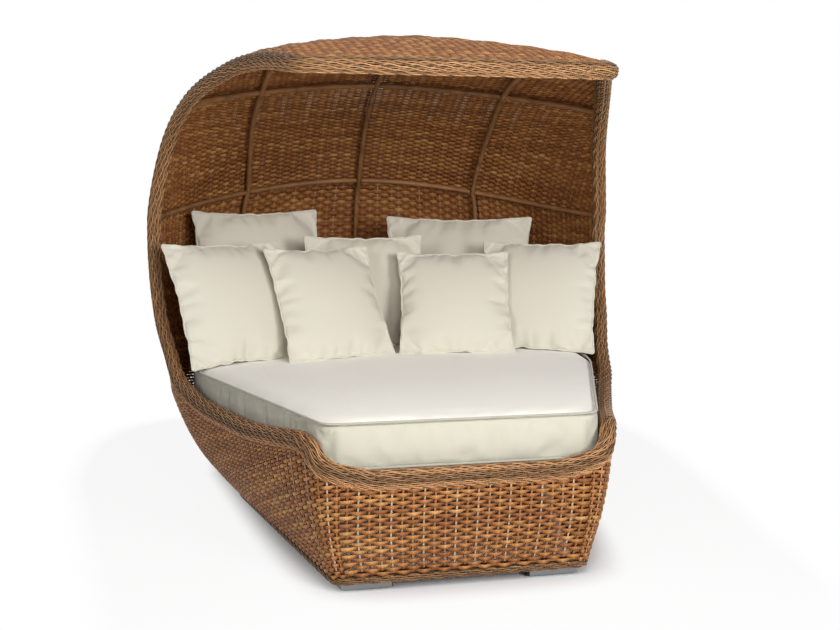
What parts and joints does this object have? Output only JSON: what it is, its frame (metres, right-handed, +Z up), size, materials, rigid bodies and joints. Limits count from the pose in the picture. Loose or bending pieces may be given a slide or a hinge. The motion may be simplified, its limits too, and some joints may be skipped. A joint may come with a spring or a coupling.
{
  "type": "outdoor daybed with canopy",
  "caption": "Round-backed woven rattan daybed whose shell sweeps up into a fixed canopy, with a rolled rim, low metal feet, a boxed mattress and loose cushions.",
  "frame": {"origin": "on the floor under the middle of the object's box", "axes": "+X to the right of someone looking in from the front, +Y from the front of the seat to the rounded back, +Z up"},
  "size_m": [1.941, 2.3314, 1.766],
  "materials": {
    "wicker": "flat woven synthetic rattan, honey to red brown, satin",
    "rim": "twined round synthetic rattan strands, satin",
    "rib": "tube wrapped in fine synthetic rattan, satin",
    "frame": "dark brown powder coat",
    "deck": "dark brown sealed board",
    "feet": "brushed",
    "caps": "moulded black",
    "glides": "moulded pale grey",
    "mattress": "cream outdoor canvas with piping",
    "pillows": "cream outdoor canvas with piping"
  },
  "bodies": {
    "root": {"canopy_front_roll": "rim", "side_roll_left": "rim", "side_roll_right": "rim", "seat_front_roll": "rim", "bottom_trim": "rim", "rim_tube": "frame", "base_ring": "frame", "seat_ring": "frame", "upright_side_left": "frame", "upright_side_right": "frame", "upright_corner_left": "frame", "upright_corner_right": "frame", "cross_bar_front": "frame", "cross_bar_middle": "frame", "cross_bar_rear": "frame", "canopy_front_skin": "wicker", "canopy_rear_skin": "wicker", "wall_back": "wicker", "wall_left": "wicker", "wall_right": "wicker", "front_skirt": "wicker", "long_rib_left": "rib", "long_rib_centre": "rib", "long_rib_right": "rib", "lower_hoop_left": "rib", "lower_hoop_left_inner": "rib", "lower_hoop_right_inner": "rib", "lower_hoop_right": "rib", "upper_hoop_left": "rib", "upper_hoop_left_inner": "rib", "upper_hoop_right_inner": "rib", "upper_hoop_right": "rib", "seat_deck": "deck", "foot_front_left": "feet", "foot_rear_left": "feet", "end_cap_front_left": "caps", "end_cap_rear_left_left": "caps", "end_cap_rear_left_right": "caps", "glide_front_left_outer": "glides", "glide_front_left_inner": "glides", "glide_rear_left_left": "glides", "glide_rear_left_right": "glides", "foot_front_right": "feet", "foot_rear_right": "feet", "end_cap_front_right": "caps", "end_cap_rear_right_left": "caps", "end_cap_rear_right_right": "caps", "glide_front_right_outer": "glides", "glide_front_right_inner": "glides", "glide_rear_right_left": "glides", "glide_rear_right_right": "glides", "mattress": "mattress", "pillow_left": "pillows", "pillow_front_left": "pillows", "pillow_front_right": "pillows", "pillow_right": "pillows", "pillow_middle": "pillows", "pillow_back_left": "pillows", "pillow_back_right": "pillows"}
  },
  "joints": []
}
